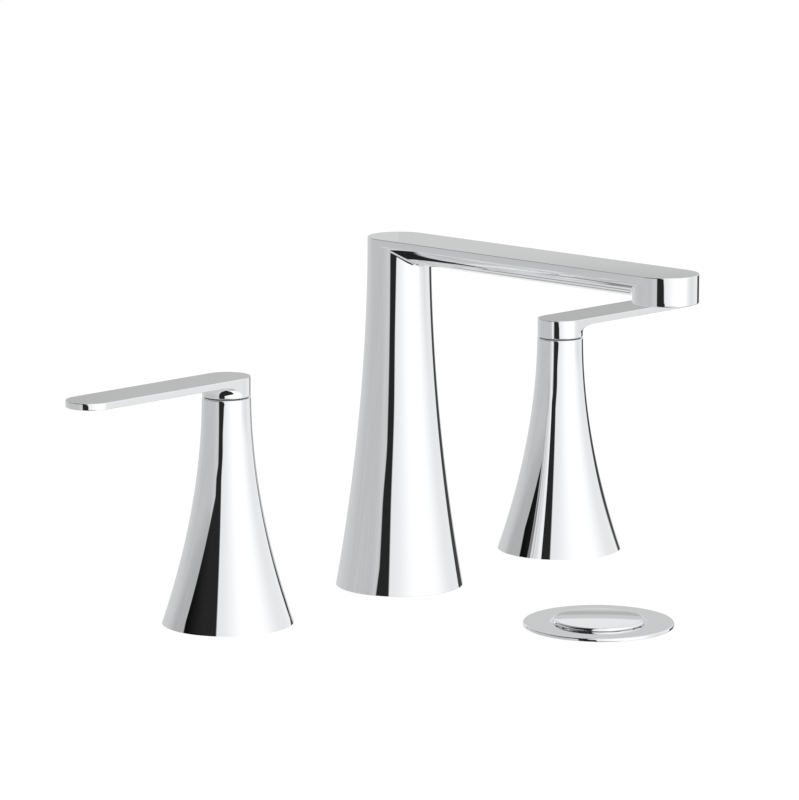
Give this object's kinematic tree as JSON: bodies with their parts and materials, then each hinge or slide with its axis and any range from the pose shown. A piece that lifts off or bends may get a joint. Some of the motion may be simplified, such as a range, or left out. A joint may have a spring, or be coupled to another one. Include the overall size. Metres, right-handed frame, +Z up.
{
  "type": "widespread bathroom faucet",
  "caption": "Widespread faucet with a flat-armed spout on a flared column, lever handles on flared bells, ceramic cartridges, and a click-to-close drain.",
  "frame": {"origin": "the deck's top face on the spout's axis", "axes": "+X to the right handle as the user sees it, -Y towards the user, +Z up"},
  "size_m": [0.3726, 0.1887, 0.3342],
  "materials": {
    "chrome": "polished chrome plate",
    "brass": "machined",
    "steel": "plain stainless",
    "rubber": "matte black",
    "plastic": "moulded",
    "ceramic": "lapped ceramic"
  },
  "bodies": {
    "root": {"left_glide_ring": "plastic", "left_neck_bush": "plastic", "left_bell": "chrome", "left_disc_seal": "rubber", "left_fixed_disc": "ceramic", "left_cartridge_housing": "brass", "left_valve_body": "brass", "left_base_gasket": "rubber", "left_retaining_ring": "brass", "left_deck_washer": "rubber", "left_mounting_nut": "brass", "right_glide_ring": "plastic", "right_neck_bush": "plastic", "right_bell": "chrome", "right_disc_seal": "rubber", "right_fixed_disc": "ceramic", "right_cartridge_housing": "brass", "right_valve_body": "brass", "right_base_gasket": "rubber", "right_retaining_ring": "brass", "right_deck_washer": "rubber", "right_mounting_nut": "brass", "spout_body": "chrome", "spout_base_gasket": "rubber", "spout_base_insert": "brass", "spout_set_screw": "steel", "spout_shank": "brass", "waterway_tube": "plastic", "waterway_lower_o_ring": "rubber", "waterway_upper_o_ring": "rubber", "spout_inlet_tee": "brass", "aerator_housing": "chrome", "aerator_washer": "rubber", "aerator_insert": "plastic", "spout_deck_washer": "rubber", "spout_mounting_nut": "brass", "drain_flange": "chrome", "click_housing": "brass", "latch_cap": "brass", "click_spring": "steel", "drain_body": "brass", "sink_washer": "rubber", "friction_washer": "plastic", "drain_nut": "brass", "tailpiece_seal": "rubber", "tailpiece": "chrome"},
    "left_handle": {"left_lever": "chrome", "left_lever_set_screw": "steel", "left_stem_extension": "brass", "left_cartridge_stem": "brass", "left_moving_disc": "ceramic"},
    "right_handle": {"right_lever": "chrome", "right_lever_set_screw": "steel", "right_stem_extension": "brass", "right_cartridge_stem": "brass", "right_moving_disc": "ceramic"},
    "drain_stopper": {"drain_cap": "chrome", "cap_seal": "rubber", "cap_stem": "brass"}
  },
  "joints": [
    {"name": "left_handle_turn", "type": "hinge", "parent": "root", "child": "left_handle", "pos_m": [-0.1016, 0, 0.1], "axis": [0, 0, 1], "range_deg": [0, 90]},
    {"name": "right_handle_turn", "type": "hinge", "parent": "root", "child": "right_handle", "pos_m": [0.1016, 0, 0.1], "axis": [0, 0, 1], "range_deg": [-90, 0]},
    {"name": "drain_cap_slide", "type": "slide", "parent": "root", "child": "drain_stopper", "axis": [0, 0, 1], "range_m": [0, 0.008], "deforming": ["click_spring"]}
  ]
}
